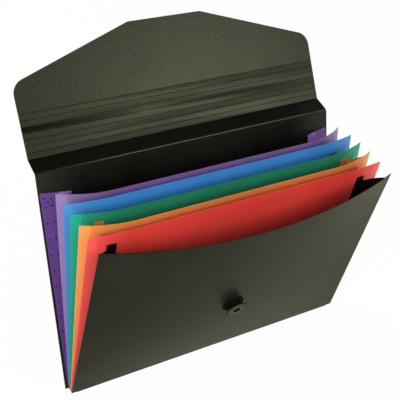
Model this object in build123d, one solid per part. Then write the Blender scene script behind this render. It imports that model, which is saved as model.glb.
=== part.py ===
from build123d import *

import os
from math import cos, radians, sin, sqrt

# Expanding file of plastic sheet, standing open on its base: millimetres, +Z up, front towards -Y,
# origin on the floor under the middle of the base. A lean is in degrees from upright, positive forwards.

# Cover sheet: back, base, front and flap
COVER_SHEET = 0.8
COVER_WIDTH = 330.0
BACK_HEIGHT = 230.6
BACK_LEAN_DEG = -12.6
BASE_DEPTH = 8.5
BASE_INSET = 6.0

# Flap: a spine band, then narrow strips between score lines, then the pointed panel
SPINE_LENGTH = 18.7
SPINE_FOLD_DEG = -60.3
FLAP_FOLD_DEG = 45.8
STRIP_COUNT = 7
STRIP_PITCH = 6.05
FLAP_SHOULDER = 28.2
FLAP_TIP = 69.3
TIP_WIDTH = 80.0
SHOULDER_RADIUS = 15.0
TIP_RADIUS = 8.0

# Creases between cover plates: each edge stops short of the fold line and slopes away from it
CREASE_GAP = 0.05
SCORE_BEVEL = 0.28

# Dividers and front: sheets hinged on the base, a little lower and narrower than the back,
# and swept back at both ends, which narrows their tops
SHEET_DROP = 9.4
SIDE_STEP = 3.2
DIVIDER_SHEET = 0.5
BASE_CLEARANCE = 0.15
SHEET_FOOT = 0.6
CURL_LENGTH = 50.0
DIVIDERS = ["purple", "blue", "green", "orange", "red"]
TOP_NARROWING = {"purple": 4.3, "blue": 3.2, "green": 3.8, "orange": 4.9, "red": 5.4, "front": 7.0}
END_OPENING_DEG = {"purple": 7.5, "blue": 12.5, "green": 16.4, "orange": 20.5, "red": 24.7, "front": 29.3}
MID_OPENING_DEG = {"purple": 11.7, "blue": 14.0, "green": 18.9, "orange": 23.2, "red": 25.3, "front": 35.4}

# Gussets: folded side webs that join neighbouring sheets
GUSSET_SHEET = 0.4
TAB_DROP = {"purple": 18.6, "blue": 13.0, "green": 13.5, "orange": 9.3, "red": 9.8, "front": 11.8}
WING_DROP = 7.0
WING_RISE = 3.5
WING_CROWN = 3.5
GUSSET_BOTTOM = 5.0
GUSSET_CLEARANCE = 0.35
GUSSET_EDGE_INSET = 1.5
WING_WIDTH = 22.8
WELD_TAB = 9.0
BACK_WING_WIDTH = 30.3
BACK_WING_LIFT = 7.0
FLANGE_TAPER = 1.5
FOLD_WIDTH = 2.4

# Closure button, riveted through the front: a spool with a hole in its cap
BUTTON_UP = 93.0
BUTTON_RADIUS = 11.5
BUTTON_RISE = 9.0
BUTTON_CAP = 2.2
BUTTON_FLANGE = 1.4
BUTTON_NECK_RADIUS = 7.5
BUTTON_EDGE = 0.6
BUTTON_HOLE_RADIUS = 4.2
BUTTON_HOLE_DEPTH = 5.0
RIVET_RADIUS = 2.5
RIVET_CLEARANCE = 0.05
WASHER_RADIUS = 8.0
WASHER_SHEET = 1.0
BUTTON_SEAT_GAP = 0.12

# Worked out from the above
PIVOT_HEIGHT = COVER_SHEET + BASE_CLEARANCE
COVER_HALF = COVER_WIDTH / 2
INNER_HALF = COVER_HALF - SIDE_STEP
SHEET_HEIGHT = BACK_HEIGHT - SHEET_DROP
POCKET_COUNT = len(DIVIDERS) + 1
SHEETS = DIVIDERS + ["front"]
STRIPS_LENGTH = STRIP_COUNT * STRIP_PITCH
SPINE_LEAN = BACK_LEAN_DEG + SPINE_FOLD_DEG
FLAP_LEAN = SPINE_LEAN + FLAP_FOLD_DEG

# How far a plate's front, middle and rear lines stop short of its crease
HALF_SHEET = COVER_SHEET / 2
SQUARE_EDGE = (0, 0, 0)
SCORED_EDGE = (SCORE_BEVEL, 0, SCORE_BEVEL)
FOLDED_EDGE = (HALF_SHEET, 0, HALF_SHEET)
REAR_HINGED_EDGE = (COVER_SHEET, HALF_SHEET, 0)


def pivot_y(sheet):
    """Y of a sheet's hinge line; the hinges are evenly spaced across the base, from the back."""
    return BASE_DEPTH / 2 - BASE_DEPTH * (SHEETS.index(sheet) + 1) / POCKET_COUNT


def lean(sheet):
    """Lean of a sheet's middle."""
    return BACK_LEAN_DEG + MID_OPENING_DEG[sheet]


def thickness(sheet):
    return COVER_SHEET if sheet == "front" else DIVIDER_SHEET


def half_width(sheet, share):
    """Half of a sheet's width, at a share of its height."""
    return INNER_HALF - TOP_NARROWING[sheet] * share


def curl_length(sheet, share):
    """Width of the swept-back end, at a share of the height; the front bows over its whole width."""
    return half_width(sheet, share) if sheet == "front" else CURL_LENGTH


def curl_depth(sheet):
    """How far the sheet's top corners lie behind its middle."""
    return SHEET_HEIGHT * radians(MID_OPENING_DEG[sheet] - END_OPENING_DEG[sheet])


def along(start, lean_deg, distance):
    """The (y, z) point at a distance from start, along a plate of that lean."""
    turn = radians(lean_deg)
    return (start[0] - distance * sin(turn), start[1] + distance * cos(turn))


def behind(start, lean_deg, distance):
    """The (y, z) point at a distance behind start, square to a plate of that lean."""
    turn = radians(lean_deg)
    return (start[0] + distance * cos(turn), start[1] + distance * sin(turn))


# The flap folds on the cover's rear face, so that it can go right round to the back
BACK_FOOT = (BASE_DEPTH / 2, PIVOT_HEIGHT)
SPINE_HINGE = behind(along(BACK_FOOT, BACK_LEAN_DEG, BACK_HEIGHT), BACK_LEAN_DEG, HALF_SHEET)
SPINE_FOOT = behind(SPINE_HINGE, SPINE_LEAN, -HALF_SHEET)
FLAP_CREASE = along(SPINE_FOOT, SPINE_LEAN, SPINE_LENGTH)


def strip_crease(number):
    """The (y, z) of the score line above strip number; 0 is the flap's own crease."""
    return along(FLAP_CREASE, FLAP_LEAN, number * STRIP_PITCH)


def placed(shape, foot, lean_deg):
    """Moves a shape from its own upright frame to its foot's (y, z) and lean."""
    return Pos(0, foot[0], foot[1]) * Rot(lean_deg, 0, 0) * shape


def plate(length, low_edge, high_edge):
    """An upright cover plate between two crease lines, with the edges that they need."""
    across = (-HALF_SHEET, 0, HALF_SHEET)
    outline = [(y, CREASE_GAP + short) for y, short in zip(across, low_edge)]
    outline += [(y, length - CREASE_GAP - short) for y, short in reversed(list(zip(across, high_edge)))]
    profile = Plane.YZ * make_face(Polyline(*outline, close=True))
    return extrude(profile, COVER_HALF, both=True)


def end_line(y, half, curl, depth):
    """A sheet's plan line at y from one end to the other, swept back by depth over the curl at each end."""
    flat = half - curl
    if depth == 0:
        stops = [(-half, y), (-flat, y), (flat, y), (half, y)]
        return [Line(a, b) for a, b in zip(stops, stops[1:]) if a != b]
    radius = (curl**2 + depth**2) / (2 * depth)
    rise = radius - sqrt(radius**2 - (curl / 2) ** 2)
    mid = flat + curl / 2
    line = [ThreePointArc((-half, y + depth), (-mid, y + rise), (-flat, y))]
    if flat > 0:
        line.append(Line((-flat, y), (flat, y)))
    line.append(ThreePointArc((flat, y), (mid, y + rise), (half, y + depth)))
    return line


def sheet_section(sheet, height, share):
    """A sheet's plan at one height, with that share of its sweep."""
    half = thickness(sheet) / 2
    plan = (half_width(sheet, share), curl_length(sheet, share), curl_depth(sheet) * share)
    front = end_line(-half, *plan)
    rear = end_line(half, *plan)
    ends = [Line(front[0] @ 0, rear[0] @ 0), Line(front[-1] @ 1, rear[-1] @ 1)]
    return Pos(0, 0, height) * make_face(front + rear + ends)


def upright_sheet(sheet):
    """A divider or the front in its own frame: straight at its foot, swept back at its top."""
    foot = sheet_section(sheet, SHEET_FOOT, 0)
    top = sheet_section(sheet, SHEET_HEIGHT, 1)
    return loft([foot, top], ruled=True)


def sweep_back(sheet, x, share):
    """How far a sheet lies behind its middle at x, at a share of its height."""
    from_end = (half_width(sheet, share) - abs(x)) / curl_length(sheet, share)
    if from_end >= 1:
        return 0
    curl = curl_length(sheet, 1)
    depth = curl_depth(sheet)
    radius = (curl**2 + depth**2) / (2 * depth)
    return share * (radius - sqrt(radius**2 - (curl * (1 - from_end)) ** 2))


def height_share(sheet, z):
    """Share of a sheet's height that is reached at z."""
    height = (z - PIVOT_HEIGHT) / cos(radians(lean(sheet)))
    return (height - SHEET_FOOT) / (SHEET_HEIGHT - SHEET_FOOT)


def sheet_y(sheet, x, z, ahead):
    """Y at x and z, a distance ahead of the sheet's middle surface; negative is behind it."""
    turn = radians(lean(sheet))
    height = (z - PIVOT_HEIGHT) / cos(turn)
    behind_middle = sweep_back(sheet, x, height_share(sheet, z)) - ahead
    return pivot_y(sheet) - height * sin(turn) + behind_middle / cos(turn)


def back_y(z, ahead):
    """Y at z, a distance ahead of the back's middle surface."""
    turn = radians(BACK_LEAN_DEG)
    return BACK_FOOT[0] - (z - BACK_FOOT[1]) * sin(turn) / cos(turn) - ahead / cos(turn)


def gusset_stand_off(sheet_thickness):
    """From a sheet's middle surface to the middle of a gusset beside it."""
    return sheet_thickness / 2 + GUSSET_CLEARANCE + GUSSET_SHEET / 2


def gusset_edge(sheet, z):
    """X where a gusset ends, just inside the edge of the sheet in front of it."""
    return half_width(sheet, height_share(sheet, z)) - GUSSET_EDGE_INSET


def gusset_top(sheet):
    """Z of a gusset's weld tab, a set drop below the top of what is behind it."""
    number = SHEETS.index(sheet)
    if number == 0:
        return PIVOT_HEIGHT + (BACK_HEIGHT - TAB_DROP[sheet]) * cos(radians(BACK_LEAN_DEG))
    return PIVOT_HEIGHT + (SHEET_HEIGHT - TAB_DROP[sheet]) * cos(radians(lean(SHEETS[number - 1])))


def z_web_section(rear_sheet, sheet, z):
    """Plan of a gusset wing from a sheet's edge to its weld tab on the sheet behind."""
    edge = gusset_edge(sheet, z)
    crease = INNER_HALF - WING_WIDTH
    tab_end = crease - WELD_TAB
    stand_off = gusset_stand_off(thickness(rear_sheet))
    line = [(edge, sheet_y(sheet, edge, z, -gusset_stand_off(thickness(sheet))))]
    line += [(x, sheet_y(rear_sheet, x, z, stand_off)) for x in (crease, tab_end)]
    half = GUSSET_SHEET / 2
    outline = [(x, y - half) for x, y in line] + [(x, y + half) for x, y in reversed(line)]
    return Pos(0, 0, z) * make_face(Polyline(*outline, close=True))


def rear_fold(z):
    """The (x, y) of the rear gusset's fold, which lifts off the back towards the top."""
    lift = BACK_WING_LIFT * z / gusset_top(SHEETS[0])
    return (COVER_HALF - BACK_WING_WIDTH, back_y(z, gusset_stand_off(COVER_SHEET) + lift))


def flange_section(z):
    """Plan of the rear gusset's flange, from the back's edge to the fold; it narrows towards its foot."""
    x, y = rear_fold(z)
    taper = FLANGE_TAPER * (1 - z / gusset_top(SHEETS[0]))
    outer = COVER_HALF - GUSSET_EDGE_INSET - taper
    outer_y = back_y(z, gusset_stand_off(COVER_SHEET))
    half = GUSSET_SHEET / 2
    outline = [(outer, outer_y + half), (x, y), (x + FOLD_WIDTH, y), (outer, outer_y - half)]
    return Pos(0, 0, z) * make_face(Polyline(*outline, close=True))


def rear_wing_section(sheet, z):
    """Plan of the rear gusset's wing, from the fold to the first divider's edge."""
    x, y = rear_fold(z)
    edge = gusset_edge(sheet, z)
    edge_y = sheet_y(sheet, edge, z, -gusset_stand_off(thickness(sheet)))
    half = GUSSET_SHEET / 2
    outline = [(x, y), (edge, edge_y - half), (edge, edge_y + half), (x + FOLD_WIDTH, y)]
    return Pos(0, 0, z) * make_face(Polyline(*outline, close=True))


def above_gusset(crease, tab_end, top):
    """What is cut off above a gusset: all above its weld tab, and an arch over its wing, which rises to the edge."""
    low = (crease, top - WING_DROP)
    high = (INNER_HALF, top + WING_RISE)
    crown = ((low[0] + high[0]) / 2, (low[1] + high[1]) / 2 + WING_CROWN)
    over = top + 2 * WING_DROP
    clear = tab_end - WELD_TAB
    sides = Polyline(high, (INNER_HALF, over), (clear, over), (clear, top), (crease, top), low)
    return extrude(Plane.XZ * make_face([ThreePointArc(low, crown, high), sides]), BACK_HEIGHT, both=True)


def gusset(sheet):
    """The right-hand gusset that joins a sheet to the one behind it."""
    number = SHEETS.index(sheet)
    top = gusset_top(sheet)
    uncut = top + WING_DROP
    heights = (GUSSET_BOTTOM, (GUSSET_BOTTOM + uncut) / 2, uncut)
    if number == 0:
        fold = COVER_HALF - BACK_WING_WIDTH
        wing = loft([rear_wing_section(sheet, z) for z in heights], ruled=True)
        wing -= above_gusset(fold + FOLD_WIDTH + WELD_TAB, fold, top)
        flange = loft([flange_section(z) for z in (GUSSET_BOTTOM, (GUSSET_BOTTOM + top) / 2, top)], ruled=True)
        return flange + wing
    crease = INNER_HALF - WING_WIDTH
    sections = [z_web_section(SHEETS[number - 1], sheet, z) for z in heights]
    return loft(sections, ruled=True) - above_gusset(crease, crease - WELD_TAB, top)


def flap_outline():
    """The pointed panel's face, from its lowest score line to its tip."""
    foot = CREASE_GAP
    right = [(COVER_HALF, foot), (COVER_HALF, FLAP_SHOULDER), (TIP_WIDTH / 2, FLAP_TIP)]
    left = [(-x, z) for x, z in reversed(right)]
    face = make_face(Polyline(*right, *left, close=True))
    corners = face.vertices()
    shoulders = [v for v in corners if abs(v.Y - FLAP_SHOULDER) < CREASE_GAP]
    face = fillet(shoulders, SHOULDER_RADIUS)
    tips = [v for v in face.vertices() if abs(v.Y - FLAP_TIP) < CREASE_GAP]
    return fillet(tips, TIP_RADIUS)


def flap_panel():
    """The flap's pointed panel in its own upright frame."""
    panel = extrude(Plane.XZ * flap_outline(), HALF_SHEET, both=True)
    foot_edges = [e for e in panel.edges() if e.length > COVER_HALF and e.center().Z < 2 * CREASE_GAP]
    return chamfer(foot_edges, SCORE_BEVEL)


def button_cap():
    """The button's flange, neck, cap and rivet, along +Z from the front's outer face."""
    cap_low = BUTTON_RISE - BUTTON_CAP
    hole_floor = BUTTON_RISE - BUTTON_HOLE_DEPTH
    stem_end = -(COVER_SHEET + 2 * BUTTON_SEAT_GAP + WASHER_SHEET)
    outline = [(0, stem_end), (RIVET_RADIUS, stem_end), (RIVET_RADIUS, 0), (BUTTON_RADIUS, 0)]
    outline += [(BUTTON_RADIUS, BUTTON_FLANGE - BUTTON_EDGE), (BUTTON_RADIUS - BUTTON_EDGE, BUTTON_FLANGE)]
    outline += [(BUTTON_NECK_RADIUS, BUTTON_FLANGE), (BUTTON_NECK_RADIUS, cap_low)]
    outline += [(BUTTON_RADIUS - BUTTON_EDGE, cap_low), (BUTTON_RADIUS, cap_low + BUTTON_EDGE)]
    outline += [(BUTTON_RADIUS, BUTTON_RISE - BUTTON_EDGE), (BUTTON_RADIUS - BUTTON_EDGE, BUTTON_RISE)]
    outline += [(BUTTON_HOLE_RADIUS + BUTTON_EDGE, BUTTON_RISE)]
    outline += [(BUTTON_HOLE_RADIUS, BUTTON_RISE - BUTTON_EDGE), (BUTTON_HOLE_RADIUS, hole_floor)]
    outline += [(0, hole_floor)]
    return revolve(Plane.XZ * make_face(Polyline(*outline, close=True)), Axis.Z)


def button_washer():
    """The ring that the rivet is set in, behind the front."""
    ring = Cylinder(WASHER_RADIUS, WASHER_SHEET) - Cylinder(RIVET_RADIUS + RIVET_CLEARANCE, WASHER_SHEET)
    return Pos(0, 0, -(COVER_SHEET + 2 * BUTTON_SEAT_GAP + WASHER_SHEET / 2)) * ring


def on_front(shape):
    """Moves a shape from +Z-outwards at the origin to the button's place on the front's outer face."""
    upright = Pos(0, -HALF_SHEET - BUTTON_SEAT_GAP, BUTTON_UP) * Rot(90, 0, 0) * shape
    return placed(upright, (pivot_y("front"), PIVOT_HEIGHT), lean("front"))


def base_panel():
    """The narrow base, nearly as wide as the back behind and as the inner sheets in front."""
    rear = BASE_DEPTH / 2 + HALF_SHEET
    right = [(INNER_HALF - BASE_INSET, -BASE_DEPTH / 2), (COVER_HALF - BASE_INSET, rear)]
    left = [(-x, y) for x, y in reversed(right)]
    return extrude(make_face(Polyline(*right, *left, close=True)), COVER_SHEET)


def front_panel():
    """The bowed front, with the button's rivet hole."""
    hole = Cylinder(RIVET_RADIUS + RIVET_CLEARANCE, 4 * BUTTON_RISE)
    sheet = placed(upright_sheet("front"), (pivot_y("front"), PIVOT_HEIGHT), lean("front"))
    return sheet - on_front(hole)


def build():
    """Every node of the file, by name."""
    nodes = {"base_panel": base_panel()}
    back = plate(BACK_HEIGHT, SQUARE_EDGE, REAR_HINGED_EDGE)
    nodes["back_panel"] = placed(back, BACK_FOOT, BACK_LEAN_DEG)
    spine = plate(SPINE_LENGTH, REAR_HINGED_EDGE, FOLDED_EDGE)
    nodes["flap_spine"] = placed(spine, SPINE_FOOT, SPINE_LEAN)
    for number in range(STRIP_COUNT):
        strip = plate(STRIP_PITCH, FOLDED_EDGE if number == 0 else SCORED_EDGE, SCORED_EDGE)
        nodes[f"flap_strip_{number + 1}"] = placed(strip, strip_crease(number), FLAP_LEAN)
    nodes["flap_panel"] = placed(flap_panel(), strip_crease(STRIP_COUNT), FLAP_LEAN)
    for sheet in DIVIDERS:
        foot = (pivot_y(sheet), PIVOT_HEIGHT)
        nodes[f"divider_{sheet}"] = placed(upright_sheet(sheet), foot, lean(sheet))
    nodes["front_panel"] = front_panel()
    for sheet in SHEETS:
        right = gusset(sheet)
        nodes[f"gusset_{sheet}_right"] = right
        nodes[f"gusset_{sheet}_left"] = mirror(right, about=Plane.YZ)
    nodes["button_cap"] = on_front(button_cap())
    nodes["button_washer"] = on_front(button_washer())
    return nodes


def main():
    os.makedirs("parts", exist_ok=True)
    for name, shape in build().items():
        export_step(shape, f"parts/{name}.step")


if __name__ == "__main__":
    main()
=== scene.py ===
from math import cos, radians, sin, sqrt

import bmesh
import bpy
from mathutils import Euler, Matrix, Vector


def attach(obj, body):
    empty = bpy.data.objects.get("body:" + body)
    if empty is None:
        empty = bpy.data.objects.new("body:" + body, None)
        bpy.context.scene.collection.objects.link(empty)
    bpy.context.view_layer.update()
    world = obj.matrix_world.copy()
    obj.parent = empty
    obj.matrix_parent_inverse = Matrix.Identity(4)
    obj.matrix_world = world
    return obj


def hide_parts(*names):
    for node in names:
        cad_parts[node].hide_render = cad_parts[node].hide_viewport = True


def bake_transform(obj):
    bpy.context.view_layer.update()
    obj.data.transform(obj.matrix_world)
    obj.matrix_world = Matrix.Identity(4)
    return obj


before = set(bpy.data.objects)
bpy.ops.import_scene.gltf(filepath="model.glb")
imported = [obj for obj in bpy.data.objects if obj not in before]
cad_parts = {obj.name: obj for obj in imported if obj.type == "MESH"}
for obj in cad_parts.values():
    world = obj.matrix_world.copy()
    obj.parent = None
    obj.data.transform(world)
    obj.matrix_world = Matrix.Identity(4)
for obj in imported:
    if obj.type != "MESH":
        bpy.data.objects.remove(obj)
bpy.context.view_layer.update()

SHEETS = ["purple", "blue", "green", "orange", "red", "front"]


def per_sheet(*values):
    return dict(zip(SHEETS, values))


# Sizes and leans from the model's source, in metres and degrees
COVER_SHEET = 0.0008
COVER_HALF = 0.165
INNER_HALF = 0.1618
BACK_HEIGHT = 0.2306
SHEET_HEIGHT = 0.2212
SHEET_FOOT = 0.0006
DIVIDER_SHEET = 0.0005
PIVOT_HEIGHT = 0.00095
BASE_DEPTH = 0.0085
CURL_LENGTH = 0.050
BACK_LEAN = -12.6
SPINE_FOLD = -60.3
FLAP_FOLD = 45.8
SPINE_LEAN = BACK_LEAN + SPINE_FOLD
FLAP_LEAN = SPINE_LEAN + FLAP_FOLD
SPINE_LENGTH = 0.0187
STRIP_PITCH = 0.00605
STRIP_COUNT = 7
NARROWING = per_sheet(0.0043, 0.0032, 0.0038, 0.0049, 0.0054, 0.0070)
END_OPENING = per_sheet(7.5, 12.5, 16.4, 20.5, 24.7, 29.3)
MID_OPENING = per_sheet(11.7, 14.0, 18.9, 23.2, 25.3, 35.4)
GUSSET_SHEET = 0.0004
GUSSET_BOTTOM = 0.005
TAB_DROP = per_sheet(0.0186, 0.013, 0.0135, 0.0093, 0.0098, 0.0118)
EDGE_INSET = 0.0015
WING_WIDTH = 0.0228
WELD_TAB = 0.009
WING_DROP = 0.007
WING_RISE = 0.0035
WING_CROWN = 0.0035
BACK_WING_WIDTH = 0.0303
BACK_WING_LIFT = 0.007
FLANGE_TAPER = 0.0015
FOLD_WIDTH = 0.0024
BUTTON_UP = 0.093
BUTTON_RISE = 0.0090

# Pleats: rows of faces up a gusset, and shares of its width; those below 0 are on the weld tab
PLEAT_ROWS = 24
PLEAT_SHARES = [-1.0, -0.5, -0.01, 0.01] + [n / 8 for n in range(1, 9)]

# Rear gusset: shares of its widths from the fold; the wing's upper edge is arched from CREASE_SHARE on
CREASE_SHARE = 0.4
FLANGE_SHARES = [0.0, 0.14, 0.39, 0.40] + [0.4 + 0.1 * n for n in range(1, 7)]
REAR_WING_SHARES = [0.0, 0.2, 0.38, 0.40] + [0.4 + 0.6 * n / 7 for n in range(1, 8)]

# Columns of the flange and of the wing that have the fold's paler colour
FOLD_COLUMNS = 2

# Gap between a gusset and the sheet that it is welded to
WELD_GAP = 0.00003

# Pressed weld marks on the rear flange, placed by X and by their distance below its top
MARK_RADIUS = 0.0012
MARK_TOP = 0.7
MARK_RISE = 0.00015
MARK_POINTS = 12
CORNER_MARKS = [(0.1603, 0.0050), (0.1540, 0.0052), (0.1570, 0.0086), (0.1538, 0.0120), (0.1597, 0.0135)]
PAIR_X = (0.1600, 0.1537)
PAIR_STEP = 0.0008
PAIR_START = 0.0295
PAIR_PITCH = 0.0162
PAIR_COUNT = 11

# Hinges left in the score lines: half their thickness, half their width, and the inset of their ends
WEB_HALF = 0.00012
WEB_REACH = 0.00045
WEB_INSET = 0.0002

# The bodies of the strips, from the flap's foot up, and of the end panel
STRIP_BODIES = ["flap_low"] * 3 + ["flap_mid"] * 4 + ["flap_end"]

# Colours, as linear red, green and blue
COVER = (0.0138, 0.0143, 0.0092)
FRONT = (0.0118, 0.0122, 0.0082)
# The inside: the cover's plastic painted darker, as shade on the inner faces of the back, band and base and
# on the front's gussets
INSIDE_SHADE = (0.0042, 0.0040, 0.0032)
# Painted shade in the score lines and the crease at the flap's foot
SCORE_SHADE = (0.004, 0.004, 0.0034)
# A painted sheen on the two ends of the back's inner face
END_SHEEN = (0.0170, 0.0172, 0.0125)
COVER_TINT = (0.96, 1.0, 0.66)
# Painted shade in the fold between the back and the band
FOLD_SHADE = (0.005, 0.005, 0.004)
FOLD_WHITE = (0.170, 0.170, 0.140)
# The button: its sides painted near black, as shade, and its face painted lighter, as lit
BUTTON_SIDE_SHADE = (0.0016, 0.0015, 0.0012)
BUTTON_FACE_LIT = ((0.034, 0.035, 0.026), (0.044, 0.045, 0.034))
BUTTON_RIM = (0.110, 0.110, 0.092)
FLOOR_PAINT = ((0.90, 0.90, 0.90), (0.92, 0.92, 0.92))
FLOOR_SHEEN = (0.99, 1.0, 0.77)
WHITE = (1.0, 1.0, 1.0)

# Each divider's colour, and the paler colour painted where only one layer stands clear, as light shining
# through it
SHEET_COLOURS = {
    "purple": ((0.186, 0.102, 0.296), (0.300, 0.198, 0.425)),
    "blue": ((0.049, 0.256, 0.660), (0.072, 0.300, 0.650)),
    "green": ((0.013, 0.215, 0.110), (0.004, 0.395, 0.250)),
    "orange": ((0.720, 0.222, 0.056), (0.860, 0.360, 0.090)),
    "red": ((0.830, 0.057, 0.044), (1.000, 0.105, 0.094)),
}
GUSSET_PURPLE = (0.120, 0.046, 0.250)
WELD_PURPLE = (0.025, 0.010, 0.085)
FOLD_PURPLE = (0.290, 0.135, 0.460)

# The part of a noise's range that is spread into patches
PATCHES = (0.3, 0.7)

# Scale and detail of each noise
WEAR_NOISE = (22.0, 6.0)
GRIT_NOISE = (650.0, 1.0)
STREAK_NOISE = (1.0, 1.0)
HAIR_NOISE = (120.0, 3.0)
BUTTON_NOISE = (400.0, 3.0)
CLOUD_NOISE = (14.0, 4.0)
FLOOR_NOISE = (60.0, 3.0)

# Moulded grain: its detail and depth, and its scale and strength on each kind of sheet
GRAIN_DETAIL = 2.0
GRAIN_DEPTH = 0.0001
COVER_GRAIN = (2600.0, 0.30)
SHEET_GRAIN = (1800.0, 0.12)

# Cover: how far wear and grit change its tone and roughness
WEAR_TONES = (0.82, 1.22)
GRIT_SHINE = -0.12
COVER_ROUGH = (0.30, 0.38)
FRONT_ROUGH = (0.28, 0.36)
INSIDE_ROUGH = (0.34, 0.44)
SCORE_ROUGH = (0.5, 0.6)

# Distances: from the middle to the ends painted with a sheen, and through a sheet where its tone changes
# from its inner face's colour to the cover's outer tone
END_SHEEN_REACH = (0.115, 0.160)
FACE_STEP = 0.0001

# Flap strips: faint painted dark reflection streaks along X
STREAK_STRETCH = (4.0, 0.0, 105.0)
STREAK_PATCHES = (0.40, 0.58)
STREAK_SHARE = 0.30

# The painted dark reflection streak where the real flap is bent: its place in strips from the flap's foot,
# and its slope along X
BENT_STRIP = 4.15
BEND_CLIMB = -0.0145
BEND_HALF = (0.0012, 0.0042)
BEND_SHADE_TONE = 0.15
BEND_DULL = 0.50

# Ranges of X, each with the dark streak's strength at both its ends
BEND_LEFT = (-0.150, -0.040, 1.15, 0.0)
BEND_RIGHT = (-0.03, 0.04, 0.0, 0.55)
BEND_FADE = (0.09, 0.155, 1.0, 0.2)

# Pale hair line on the fold between the back and the band: ranges, with its strength at both ends
HAIR_HALF = 0.00014
HAIR_START = (-0.135, -0.085, 0.0, 1.0)
HAIR_FADE = (0.05, 0.15, 1.0, 0.55)
HAIR_SPECKS = (0.35, 0.65, 0.7, 1.0)

# Button: heights above the front where its face, painted lighter as if lit, begins, and is full
FACE_EDGE = (0.0083, 0.0089)

# Button: distances from the middle of its face where the pale rim starts to fade, and is gone
RIM_REACH = (0.0032, 0.0075)

# Dividers and gussets: frosted sheets
CLOUD_TONES = (0.92, 1.08)
SHEET_ROUGH = (0.36, 0.44)
SHEET_CLEAR = 0.20
RED_CLEAR = 0.12

# Distances from a divider's end to where it is painted paler, as light shining through
SINGLE_LAYER = 0.0088
LAYER_STEP = 0.0005
END_GLOW = (0.040, 0.012)
GLOW_SHARE = 0.55

# Stage: half the floor's width, and how much of it glows to the camera
FLOOR_HALF = 4
FLOOR_SHARE = 0.95

# The floor in reflections: its strength, and ranges of Y and X over which that grows, each by its last value
SHEEN_BASE = 0.42
SHEEN_NEAR = (-0.045, -0.004, 0.40)
SHEEN_RIGHT = (-0.05, 0.40, 0.22)

# The background: its strength in reflections, by a range of height, and as light
WALLS = (0.45, 0.75, 1.0, 0.12)
AMBIENT = 0.55

# Each lamp's name, place, target, size and power
LAMPS = [
    ("front", (0.58, -0.95, 0.72), (0, 0.08, 0.24), 0.45, 5.2),
    ("key", (-1.03, -0.89, 0.78), (0, 0, 0.15), 0.7, 15.0),
    ("rear", (-0.50, 1.30, 0.85), (0, 0, 0.15), 0.8, 9.0),
]

# Camera, turned by degrees, with its sensor and lens in millimetres
CAMERA_PLACE = (-0.365608, -0.580681, 0.616693)
CAMERA_TURN = (57.7652, -2.5326, -29.1202)
SENSOR_WIDTH = 36.0
LENS = 74.546
CLIP_START = 0.01


class Tree:
    """The nodes of a material or of the world, and the steps that its look is made of."""

    def __init__(self, owner):
        owner.use_nodes = True
        self.nodes, self.links = owner.node_tree.nodes, owner.node_tree.links

    def fill(self, node, values):
        """Link a node's inputs, or set them to a number, a vector or a colour."""
        for key, value in values.items():
            socket = node.inputs[key]
            if isinstance(value, bpy.types.NodeSocket):
                self.links.new(value, socket)
            elif socket.type == "RGBA":
                socket.default_value = (*value, 1.0)
            else:
                socket.default_value = value

    def step(self, kind, values, operation=None):
        node = self.nodes.new(kind)
        if operation:
            node.operation = operation
        self.fill(node, values)
        return node.outputs

    def place(self):
        return self.nodes.new("ShaderNodeTexCoord").outputs["Object"]

    def axes(self, place):
        return self.step("ShaderNodeSeparateXYZ", {"Vector": place})

    def noise(self, place, scale, detail):
        return self.step("ShaderNodeTexNoise", {"Vector": place, "Scale": scale, "Detail": detail})["Fac"]

    def patches(self, place, scale, detail):
        return self.mapped(self.noise(place, scale, detail), *PATCHES, 0.0, 1.0)

    def mapped(self, value, low, high, to_low, to_high):
        values = {"Value": value, "From Min": low, "From Max": high, "To Min": to_low, "To Max": to_high}
        return self.step("ShaderNodeMapRange", values)["Result"]

    def math(self, operation, *values):
        return self.step("ShaderNodeMath", dict(enumerate(values)), operation)["Value"]

    def measured(self, operation, place, other):
        """A dot product or a distance."""
        return self.step("ShaderNodeVectorMath", {0: place, 1: other}, operation)["Value"]

    def scaled(self, tone, strength):
        return self.step("ShaderNodeVectorMath", {0: tone, "Scale": strength}, "SCALE")["Vector"]

    def mixed(self, share, first, second):
        """One colour or the other, by share."""
        mix = self.nodes.new("ShaderNodeMix")
        mix.data_type = "RGBA"
        self.fill(mix, {0: share, 6: first, 7: second})
        return mix.outputs[2]

    def chosen(self, share, low, high):
        """One number or the other, by share."""
        return self.step("ShaderNodeMix", {0: share, 2: low, 3: high})[0]

    def grain(self, place, shader, scale, strength):
        """A fine moulded grain on the sheet's surface."""
        height = self.noise(place, scale, GRAIN_DETAIL)
        values = {"Height": height, "Strength": strength, "Distance": GRAIN_DEPTH}
        self.fill(shader, {"Normal": self.step("ShaderNodeBump", values)["Normal"]})


def new_material(name):
    material = bpy.data.materials.new(name)
    tree = Tree(material)
    return material, tree, tree.nodes["Principled BSDF"], tree.place()


def toned(colour, factor):
    return tuple(min(1, c * factor) for c in colour)


def upward(lean_deg):
    """Up along a plate that leans."""
    turn = radians(lean_deg)
    return (0, -sin(turn), cos(turn))


def rearward(lean_deg):
    """Out of the rear face of a plate that leans."""
    turn = radians(lean_deg)
    return (0, cos(turn), sin(turn))


def along(start, lean_deg, distance):
    """The Y and Z of a point up along a plate."""
    turn = radians(lean_deg)
    return (start[0] - distance * sin(turn), start[1] + distance * cos(turn))


def behind(start, lean_deg, distance):
    """The Y and Z of a point behind a plate."""
    turn = radians(lean_deg)
    return (start[0] + distance * cos(turn), start[1] + distance * sin(turn))


def reach(direction, point):
    """How far a point, given by Y and Z, lies in a direction."""
    return point[0] * direction[1] + point[1] * direction[2]


def pivot_y(sheet):
    return BASE_DEPTH / 2 - BASE_DEPTH * (SHEETS.index(sheet) + 1) / len(SHEETS)


def lean(sheet):
    return BACK_LEAN + MID_OPENING[sheet]


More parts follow.
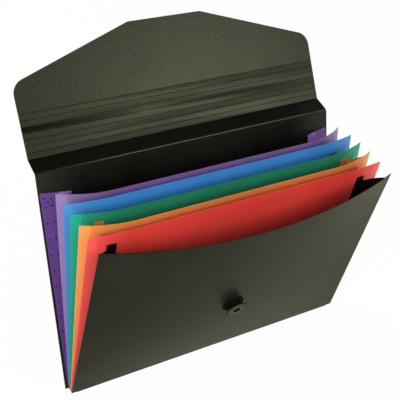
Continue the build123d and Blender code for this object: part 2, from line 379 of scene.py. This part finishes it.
back_foot = (BASE_DEPTH / 2, PIVOT_HEIGHT)
front_foot = (pivot_y("front"), PIVOT_HEIGHT)
spine_hinge = behind(along(back_foot, BACK_LEAN, BACK_HEIGHT), BACK_LEAN, COVER_SHEET / 2)
spine_foot = behind(spine_hinge, SPINE_LEAN, -COVER_SHEET / 2)
flap_crease = along(spine_foot, SPINE_LEAN, SPINE_LENGTH)


def cover_material(name, colour=COVER, rough=COVER_ROUGH, gloss=0.18, sand=0.40,
                   reflection_streaks=False, outer=None, scuffed=False):
    """Dark plastic sheet with a sand grain and faint rubbing.

    rough is its roughness from the darkest patches to the palest, gloss its specular level and
    sand the strength of its grain. reflection_streaks paints the flap strips' dark reflection streaks onto
    it.
    outer is a point of the sheet's middle and its lean; what lies behind has the cover's outer tone, and the
    face in front keeps the given colour, such as the inside's painted shade.
    scuffed paints a sheen on the sheet, paler towards its two ends.
    """
    material, tree, shader, place = new_material(name)
    wear = tree.patches(place, *WEAR_NOISE)
    grit = tree.patches(place, *GRIT_NOISE)
    tone = tree.mixed(wear, *(toned(colour, factor) for factor in WEAR_TONES))
    # Painted sheen: the sheet turns paler towards its two ends
    if scuffed:
        side = tree.math("ABSOLUTE", tree.axes(place)["X"])
        tone = tree.mixed(tree.mapped(side, *END_SHEEN_REACH, 0.0, 1.0), tone, END_SHEEN)
    if outer:
        point, lean_deg = outer
        out = rearward(lean_deg)
        middle = reach(out, point)
        distance = tree.measured("DOT_PRODUCT", place, out)
        rear = tree.mapped(distance, middle, middle + FACE_STEP, 0.0, 1.0)
        tone = tree.mixed(rear, tone, COVER)
    dull = tree.mapped(wear, 0.0, 1.0, *rough)
    dull = tree.math("MULTIPLY_ADD", grit, GRIT_SHINE * sand, dull)
    # Painted dark reflection streaks on the flap's strips: a darker tone, with more roughness
    if reflection_streaks:
        painted_streak_shade = flap_reflection_streaks(tree, place)
        tone = tree.mixed(painted_streak_shade, tone, toned(colour, BEND_SHADE_TONE))
        dull = tree.math("MULTIPLY_ADD", painted_streak_shade, BEND_DULL, dull)
    tone = tree.scaled(tone, tree.mapped(grit, 0.0, 1.0, 1.0 - sand, 1.0 + sand))
    tree.fill(shader, {"Base Color": tone, "Roughness": dull})
    tree.fill(shader, {"Specular IOR Level": gloss, "Specular Tint": COVER_TINT})
    tree.grain(place, shader, *COVER_GRAIN)
    return material


def flap_reflection_streaks(tree, place):
    """How much painted dark reflection the strips get: faintly along X, and most in one streak where the
    real flap bends.

    The streak is darkest on the left, fades out, and comes back right of the middle.
    """
    stretched = tree.step("ShaderNodeMapping", {"Vector": place, "Scale": STREAK_STRETCH})["Vector"]
    # Faint painted dark reflection streaks along X
    patchy_painted_light = tree.mapped(tree.noise(stretched, *STREAK_NOISE), *STREAK_PATCHES, STREAK_SHARE, 0.0)
    up = upward(FLAP_LEAN)
    line = reach(up, along(flap_crease, FLAP_LEAN, BENT_STRIP * STRIP_PITCH))
    height = tree.measured("DOT_PRODUCT", place, (-BEND_CLIMB, up[1], up[2]))
    off_line = tree.math("ABSOLUTE", tree.math("SUBTRACT", height, line))
    near = tree.mapped(off_line, *BEND_HALF, 1.0, 0.0)
    side = tree.axes(place)["X"]
    right = tree.math("MULTIPLY", tree.mapped(side, *BEND_RIGHT), tree.mapped(side, *BEND_FADE))
    stretch = tree.math("ADD", tree.mapped(side, *BEND_LEFT), right)
    return tree.math("MULTIPLY_ADD", near, stretch, patchy_painted_light)


def crease_material(name, crease, lean_deg):
    """A fold painted dark as shade, with a pale hair line along it that fades out at the left and partly at
    the right.
    """
    material, tree, shader, place = new_material(name)
    up = upward(lean_deg)
    height = tree.measured("DOT_PRODUCT", place, up)
    on_line = tree.math("COMPARE", height, reach(up, crease), HAIR_HALF)
    side = tree.axes(place)["X"]
    hair_strength = tree.math("MULTIPLY", tree.mapped(side, *HAIR_START), tree.mapped(side, *HAIR_FADE))
    specks = tree.mapped(tree.noise(place, *HAIR_NOISE), *HAIR_SPECKS)
    hair = tree.math("MULTIPLY", on_line, tree.math("MULTIPLY", hair_strength, specks))
    tree.fill(shader, {"Base Color": tree.mixed(hair, FOLD_SHADE, FOLD_WHITE)})
    tree.fill(shader, {"Roughness": 0.4, "Specular IOR Level": 0.15})
    return material


def button_material(name):
    """Black moulded plastic, its sides painted near black as shade, the face of the cap painted lighter, at
    the cover's tone, as lit, and palest at its hole.
    """
    material, tree, shader, place = new_material(name)
    lean_deg = lean("front")
    ahead = tuple(-c for c in rearward(lean_deg))
    seat = reach(ahead, front_foot) + COVER_SHEET / 2
    edge = (seat + rise for rise in FACE_EDGE)
    face = tree.mapped(tree.measured("DOT_PRODUCT", place, ahead), *edge, 0.0, 1.0)
    # The face: patches of a lighter painted tone, as light on the cap
    patchy_painted_light = tree.mixed(tree.patches(place, *BUTTON_NOISE), *BUTTON_FACE_LIT)
    middle = behind(along(front_foot, lean_deg, BUTTON_UP), lean_deg, -BUTTON_RISE)
    rim = tree.mapped(tree.measured("DISTANCE", place, (0, *middle)), *RIM_REACH, 1.0, 0.0)
    tone = tree.mixed(face, BUTTON_SIDE_SHADE, tree.mixed(rim, patchy_painted_light, BUTTON_RIM))
    tree.fill(shader, {"Base Color": tone, "Roughness": tree.mapped(face, 0.0, 1.0, 0.90, 0.42)})
    tree.fill(shader, {"Specular IOR Level": 0.10, "Specular Tint": COVER_TINT})
    return material


def frosted(name, colour, backlit_colour=None, narrowing=0.0, clear=SHEET_CLEAR):
    """Frosted translucent sheet, painted paler towards its ends and where only one layer stands clear, as
    light shining through.
    """
    material, tree, shader, place = new_material(name)
    cloud = tree.patches(place, *CLOUD_NOISE)
    body = tree.mixed(cloud, *(toned(colour, factor) for factor in CLOUD_TONES))
    # Painted light: the ends turn paler, as if lit through from behind
    if backlit_colour:
        axes = tree.axes(place)
        outward = tree.math("MULTIPLY_ADD", axes["Z"], narrowing / SHEET_HEIGHT,
                            tree.math("ABSOLUTE", axes["X"]))
        glow_start, glow_end = (INNER_HALF - distance for distance in END_GLOW)
        glow = tree.mapped(outward, glow_start, glow_end, 0.0, GLOW_SHARE)
        body = tree.mixed(glow, body, backlit_colour)
        edge = INNER_HALF - SINGLE_LAYER
        ends = tree.mapped(outward, edge - LAYER_STEP, edge + LAYER_STEP, 0.0, 1.0)
        body = tree.mixed(ends, body, backlit_colour)
    tree.fill(shader, {"Base Color": body, "Roughness": tree.mapped(cloud, 0.0, 1.0, *SHEET_ROUGH)})
    tree.fill(shader, {"Transmission Weight": clear, "Specular IOR Level": 0.3})
    tree.grain(place, shader, *SHEET_GRAIN)
    return material


def thickness(sheet):
    return COVER_SHEET if sheet == "front" else DIVIDER_SHEET


def half_width(sheet, share):
    return INNER_HALF - NARROWING[sheet] * share


def curl_length(sheet, share):
    return half_width(sheet, share) if sheet == "front" else CURL_LENGTH


def sweep_back(sheet, x, share):
    """How far a sheet lies behind its middle at x, at a share of its height."""
    from_end = (half_width(sheet, share) - abs(x)) / curl_length(sheet, share)
    if from_end >= 1:
        return 0.0
    curl = curl_length(sheet, 1)
    depth = SHEET_HEIGHT * radians(MID_OPENING[sheet] - END_OPENING[sheet])
    radius = (curl**2 + depth**2) / (2 * depth)
    return share * (radius - sqrt(radius**2 - (curl * (1 - from_end)) ** 2))


def height_share(sheet, z):
    height = (z - PIVOT_HEIGHT) / cos(radians(lean(sheet)))
    return (height - SHEET_FOOT) / (SHEET_HEIGHT - SHEET_FOOT)


def sheet_y(sheet, x, z, ahead):
    """Y at x and z, a distance ahead of the sheet's middle surface."""
    turn = radians(lean(sheet))
    height = (z - PIVOT_HEIGHT) / cos(turn)
    behind_middle = sweep_back(sheet, x, height_share(sheet, z)) - ahead
    return pivot_y(sheet) - height * sin(turn) + behind_middle / cos(turn)


def back_y(z, ahead):
    """Y at z, a distance ahead of the back's middle surface."""
    turn = radians(BACK_LEAN)
    return BASE_DEPTH / 2 - (z - PIVOT_HEIGHT) * sin(turn) / cos(turn) - ahead / cos(turn)


def gusset_edge(sheet, z):
    return half_width(sheet, height_share(sheet, z)) - EDGE_INSET


def gusset_top(sheet):
    """Z of the top of a gusset's weld tab."""
    number = SHEETS.index(sheet)
    if number == 0:
        return PIVOT_HEIGHT + (BACK_HEIGHT - TAB_DROP[sheet]) * cos(radians(BACK_LEAN))
    return PIVOT_HEIGHT + (SHEET_HEIGHT - TAB_DROP[sheet]) * cos(radians(lean(SHEETS[number - 1])))


def wing_top(top, crease, x):
    """Z of a wing's upper edge: lowest at its crease, then rising in an arch to the sheet's edge."""
    share = (x - crease) / (INNER_HALF - crease)
    rise = (WING_DROP + WING_RISE) * share - WING_DROP
    return top + rise + WING_CROWN * 4 * share * (1 - share)


def stand_off(sheet_thickness):
    return sheet_thickness / 2 + WELD_GAP + GUSSET_SHEET / 2


def new_piece(name):
    piece = bpy.data.objects.new(name, bpy.data.meshes.new(name))
    bpy.context.collection.objects.link(piece)
    return piece


def sheet_mesh(name, rows, materials, dots=(), pale_columns=0):
    """A sheet through rows of points, given the gusset's thickness along Y.

    dots are (x, z) places of weld marks, in the second material; the first pale_columns take the third.
    """
    piece = new_piece(name)
    mesh = piece.data
    shape = bmesh.new()
    half = Vector((0, GUSSET_SHEET / 2, 0))
    grids = [[[shape.verts.new(p + s * half) for p in row] for row in rows] for s in (-1, 1)]
    wide, tall = len(rows[0]), len(rows)
    for number, grid in enumerate(grids):
        for i in range(tall - 1):
            for j in range(wide - 1):
                quad = [grid[i][j], grid[i][j + 1], grid[i + 1][j + 1], grid[i + 1][j]]
                face = shape.faces.new(quad if number == 0 else quad[::-1])
                face.material_index = 2 if j < pale_columns else 0
    rim = [(0, j) for j in range(wide)] + [(i, wide - 1) for i in range(1, tall)]
    rim += [(tall - 1, j) for j in range(wide - 2, -1, -1)] + [(i, 0) for i in range(tall - 2, 0, -1)]
    for (i, j), (k, m) in zip(rim, rim[1:] + rim[:1]):
        shape.faces.new([grids[0][i][j], grids[1][i][j], grids[1][k][m], grids[0][k][m]])
    bmesh.ops.recalc_face_normals(shape, faces=shape.faces)
    for x, z in dots:
        weld_mark(shape, rows, x, z)
    shape.to_mesh(mesh)
    shape.free()
    for face in mesh.polygons:
        face.use_smooth = False
    for material in materials:
        mesh.materials.append(material)
    return piece


def weld_mark(shape, rows, x, z):
    """A small pressed spot, standing a hair proud on both faces of a sheet."""
    row = min(range(len(rows) - 1), key=lambda i: abs((rows[i][0].z + rows[i + 1][0].z) / 2 - z))
    ends = []
    for points in (rows[row], rows[row + 1]):
        share = (x - points[0].x) / (points[-1].x - points[0].x)
        ends.append(points[0].lerp(points[-1], share))
    middle = ends[0].lerp(ends[1], (z - ends[0].z) / (ends[1].z - ends[0].z))
    slope = (ends[1] - ends[0]).normalized()
    across = (rows[row][-1] - rows[row][0]).normalized()
    out = across.cross(slope).normalized()
    for face in (-1, 1):
        rings = []
        for radius, rise in ((MARK_RADIUS, 0.0), (MARK_RADIUS * MARK_TOP, MARK_RISE)):
            ring = []
            for n in range(MARK_POINTS):
                turn = radians(360 / MARK_POINTS * n)
                offset = across * (radius * cos(turn)) + slope * (radius * sin(turn))
                ring.append(shape.verts.new(middle + offset + out * face * (GUSSET_SHEET / 2 + rise)))
            rings.append(ring)
        low, high = rings
        following = [(n, (n + 1) % MARK_POINTS) for n in range(MARK_POINTS)]
        sides = [[low[n], low[m], high[m], high[n]] for n, m in following]
        for corners in sides + [high, low[::-1]]:
            mark = shape.faces.new(corners if face == 1 else corners[::-1])
            mark.material_index = 1


def weld_places(top):
    """Weld marks of the rear gusset: five at its top corner, then pairs down its edge."""
    places = [(x, top - drop) for x, drop in CORNER_MARKS]
    for pair in range(PAIR_COUNT):
        low = top - PAIR_START - PAIR_PITCH * pair
        places += [(PAIR_X[0], low), (PAIR_X[1], low + PAIR_STEP)]
    return places


def side_name(side):
    return "left" if side < 0 else "right"


def row_z(top, step):
    """Z of a row of a gusset whose column ends at top."""
    return GUSSET_BOTTOM + (top - GUSSET_BOTTOM) * step / PLEAT_ROWS


def z_gusset(sheet, side, materials):
    """A wing from a sheet's edge to its weld tab on the sheet behind."""
    rear = SHEETS[SHEETS.index(sheet) - 1]
    crease = INNER_HALF - WING_WIDTH
    top = gusset_top(sheet)
    near_edge = gusset_edge(sheet, top)
    rows = []
    for step in range(PLEAT_ROWS + 1):
        row = []
        for share in PLEAT_SHARES:
            on_tab = share < 0
            high = top if on_tab else wing_top(top, crease, crease + (near_edge - crease) * share)
            z = row_z(high, step)
            edge = gusset_edge(sheet, z)
            x = crease + (WELD_TAB if on_tab else edge - crease) * share
            y_tab = sheet_y(rear, min(x, crease), z, stand_off(thickness(rear)))
            y_edge = sheet_y(sheet, edge, z, -stand_off(thickness(sheet)))
            row.append(Vector((side * x, y_tab + (y_edge - y_tab) * max(0.0, share), z)))
        rows.append(row)
    name = side_name(side)
    piece = sheet_mesh(f"pleat_{sheet}_{name}", rows, materials)
    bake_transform(piece)
    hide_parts(f"gusset_{sheet}_{name}")
    return piece


def rear_gusset(side, materials):
    """The flange on the back's edge, and the wing folded forward from it to the first divider."""
    outer = COVER_HALF - EDGE_INSET
    fold = COVER_HALF - BACK_WING_WIDTH
    crease = fold + FOLD_WIDTH + WELD_TAB
    off = stand_off(COVER_SHEET)
    top = gusset_top("purple")
    near_edge = gusset_edge("purple", top)
    flange, wing = [], []
    for step in range(PLEAT_ROWS + 1):
        z = row_z(top, step)
        y_outer = back_y(z, off)
        y_fold = back_y(z, off + BACK_WING_LIFT * z / top)
        width = outer - FLANGE_TAPER * (1 - z / top) - fold
        flange.append([Vector((side * (fold + width * share), y_fold + (y_outer - y_fold) * share, z))
                       for share in FLANGE_SHARES])
        wing.append([])
        for share in REAR_WING_SHARES:
            high = top
            if share >= CREASE_SHARE:
                high = wing_top(top, crease, fold + (near_edge - fold) * share)
            z = row_z(high, step)
            edge = gusset_edge("purple", z)
            y_fold = back_y(z, off + BACK_WING_LIFT * z / top)
            y_edge = sheet_y("purple", edge, z, -stand_off(DIVIDER_SHEET))
            y = y_fold + (y_edge - y_fold) * share
            wing[-1].append(Vector((side * (fold + (edge - fold) * share), y, z)))
    name = side_name(side)
    dots = [(side * x, z) for x, z in weld_places(top)]
    first = sheet_mesh(f"pleat_purple_flange_{name}", flange, materials, dots, FOLD_COLUMNS)
    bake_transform(first)
    second = sheet_mesh(f"pleat_purple_wing_{name}", wing, materials, (), FOLD_COLUMNS)
    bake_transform(second)
    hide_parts(f"gusset_purple_{name}")
    return first, second


def crease_web(name, crease, lean_deg, bodies, material):
    """The thin hinge of a score line, which closes the gap between two plates of the cover."""
    piece = new_piece(name)
    up, out = Vector(upward(lean_deg)), Vector(rearward(lean_deg))
    foot = Vector((0, *crease))
    third = WEB_REACH / 3
    ring = [(-WEB_REACH, 0), (-third, -WEB_HALF), (third, -WEB_HALF)]
    ring += [(WEB_REACH, 0), (third, WEB_HALF), (-third, WEB_HALF)]
    shape = bmesh.new()
    ends = []
    for x in (-COVER_HALF + WEB_INSET, COVER_HALF - WEB_INSET):
        ends.append([shape.verts.new(foot + Vector((x, 0, 0)) + up * a + out * b) for a, b in ring])
    for n in range(len(ring)):
        shape.faces.new([ends[0][n - 1], ends[0][n], ends[1][n], ends[1][n - 1]])
    shape.faces.new(ends[0])
    shape.faces.new(ends[1][::-1])
    bmesh.ops.recalc_face_normals(shape, faces=shape.faces)
    shape.to_mesh(piece.data)
    shape.free()
    piece.data.materials.append(material)
    if len(bodies) == 1:
        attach(piece, bodies[0])
    else:
        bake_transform(piece)


# Materials, set here on the CAD nodes and below on the pieces
cover = cover_material("cover_sheet")
scored = cover_material("scored_sheet", reflection_streaks=True)
# The base, back and band take the inside's painted shade; the back's and band's rear faces take the cover's
# outer tone
inside_shade = cover_material("cover_inside_shade", INSIDE_SHADE, INSIDE_ROUGH, gloss=0.10)
back = cover_material("back_sheet", INSIDE_SHADE, INSIDE_ROUGH, gloss=0.11,
                      outer=(back_foot, BACK_LEAN), scuffed=True)
spine = cover_material("spine_sheet", INSIDE_SHADE, INSIDE_ROUGH, gloss=0.10, outer=(spine_foot, SPINE_LEAN))
front = cover_material("front_sheet", FRONT, FRONT_ROUGH, gloss=0.125, sand=0.15)
# The hinges of the score lines are painted dark, as shade in the grooves
groove = cover_material("score_line", SCORE_SHADE, SCORE_ROUGH, gloss=0.1)
hinge_lean = (BACK_LEAN + SPINE_LEAN) / 2
hinge = crease_material("crease_line", spine_hinge, hinge_lean)
button = button_material("button_plastic")
plates = {"back_panel": back, "flap_spine": spine, "base_panel": inside_shade, "front_panel": front}

sheets, pleats = {}, {}
for colour, (body, backlit_colour) in SHEET_COLOURS.items():
    clear = RED_CLEAR if colour == "red" else SHEET_CLEAR
    sheets[colour] = frosted(f"{colour}_sheet", body, backlit_colour, NARROWING[colour], clear)
    if colour != "purple":
        pleats[colour] = frosted(f"{colour}_pleat", body)
for name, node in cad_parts.items():
    material = plates.get(name, cover)
    if name.startswith("flap_strip"):
        material = scored
    if name.startswith("button"):
        material = button
    for colour in SHEET_COLOURS:
        if colour in name:
            material = sheets[colour]
    node.data.materials.clear()
    node.data.materials.append(material)

# Gussets, and the hinges of the cover
rear_materials = [frosted("purple_flange", GUSSET_PURPLE), frosted("weld_mark", WELD_PURPLE)]
rear_materials.append(frosted("purple_fold", FOLD_PURPLE))
for side in (-1, 1):
    for piece in rear_gusset(side, rear_materials):
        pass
    for sheet in SHEETS[1:]:
        pleat = z_gusset(sheet, side, [inside_shade if sheet == "front" else pleats[sheet]])

crease_web("crease_spine", spine_hinge, hinge_lean, ["cover_back", "flap_band"], hinge)
crease_web("crease_foot", flap_crease, (SPINE_LEAN + FLAP_LEAN) / 2, ["flap_band", "flap_low"], groove)
for number in range(1, STRIP_COUNT + 1):
    bodies = sorted(set(STRIP_BODIES[number - 1:number + 1]), key=STRIP_BODIES.index)
    place = along(flap_crease, FLAP_LEAN, number * STRIP_PITCH)
    crease_web(f"crease_score_{number}", place, FLAP_LEAN, bodies, groove)

# Floor: plain and pale to the camera, and graded where the cover reflects it
floor = new_piece("floor")
corners = [(-1, -1), (1, -1), (1, 1), (-1, 1)]
floor.data.from_pydata([(x * FLOOR_HALF, y * FLOOR_HALF, 0) for x, y in corners], [], [(0, 1, 2, 3)])
paint, tree, shader, place = new_material("floor_paint")
tree.fill(shader, {"Base Color": tree.mixed(tree.patches(place, *FLOOR_NOISE), *FLOOR_PAINT)})
tree.fill(shader, {"Roughness": 0.9, "Specular IOR Level": 0.1})
seen = tree.step("ShaderNodeLightPath", {})
direct = tree.math("MAXIMUM", seen["Is Camera Ray"], seen["Is Transmission Ray"])
spot = tree.axes(place)
sheen = SHEEN_BASE
for axis, (low, high, strength) in (("X", SHEEN_RIGHT), ("Y", SHEEN_NEAR)):
    sheen = tree.math("MULTIPLY_ADD", tree.mapped(spot[axis], low, high, 0.0, 1.0), strength, sheen)
glow = tree.step("ShaderNodeEmission", {
    "Color": tree.mixed(seen["Is Glossy Ray"], WHITE, FLOOR_SHEEN),
    "Strength": tree.chosen(seen["Is Glossy Ray"], 1.0, sheen),
})["Emission"]
share = tree.chosen(direct, seen["Is Glossy Ray"], FLOOR_SHARE)
surface = tree.step("ShaderNodeMixShader", {0: share, 1: shader.outputs["BSDF"], 2: glow})["Shader"]
tree.fill(tree.nodes["Material Output"], {"Surface": surface})
floor.data.materials.append(paint)

# World: white to the camera, dimmer as light, and dimmest overhead in reflections
scene = bpy.context.scene
scene.world = bpy.data.worlds.new("studio")
tree = Tree(scene.world)
heading = tree.nodes.new("ShaderNodeTexCoord").outputs["Generated"]
walls = tree.mapped(tree.axes(heading)["Z"], *WALLS)
seen = tree.step("ShaderNodeLightPath", {})
direct = tree.math("MAXIMUM", seen["Is Camera Ray"], seen["Is Transmission Ray"])
ambient = tree.chosen(seen["Is Glossy Ray"], AMBIENT, walls)
tree.fill(tree.nodes["Background"], {"Color": WHITE, "Strength": tree.chosen(direct, ambient, 1.0)})

# Lamps and camera
for name, place, target, size, power in LAMPS:
    data = bpy.data.lights.new(name, "AREA")
    data.size = size
    data.energy = power
    lamp = bpy.data.objects.new(name, data)
    lamp.location = place
    lamp.rotation_euler = (Vector(target) - Vector(place)).to_track_quat("-Z", "Y").to_euler()
    bpy.context.collection.objects.link(lamp)

camera_data = bpy.data.cameras.new("camera")
camera_data.sensor_fit = "HORIZONTAL"
camera_data.sensor_width = SENSOR_WIDTH
camera_data.lens = LENS
camera_data.clip_start = CLIP_START
camera = bpy.data.objects.new("camera", camera_data)
camera.location = CAMERA_PLACE
camera.rotation_euler = Euler([radians(turn) for turn in CAMERA_TURN], "XYZ")
bpy.context.collection.objects.link(camera)
scene.camera = camera
scene.view_settings.view_transform = "Standard"
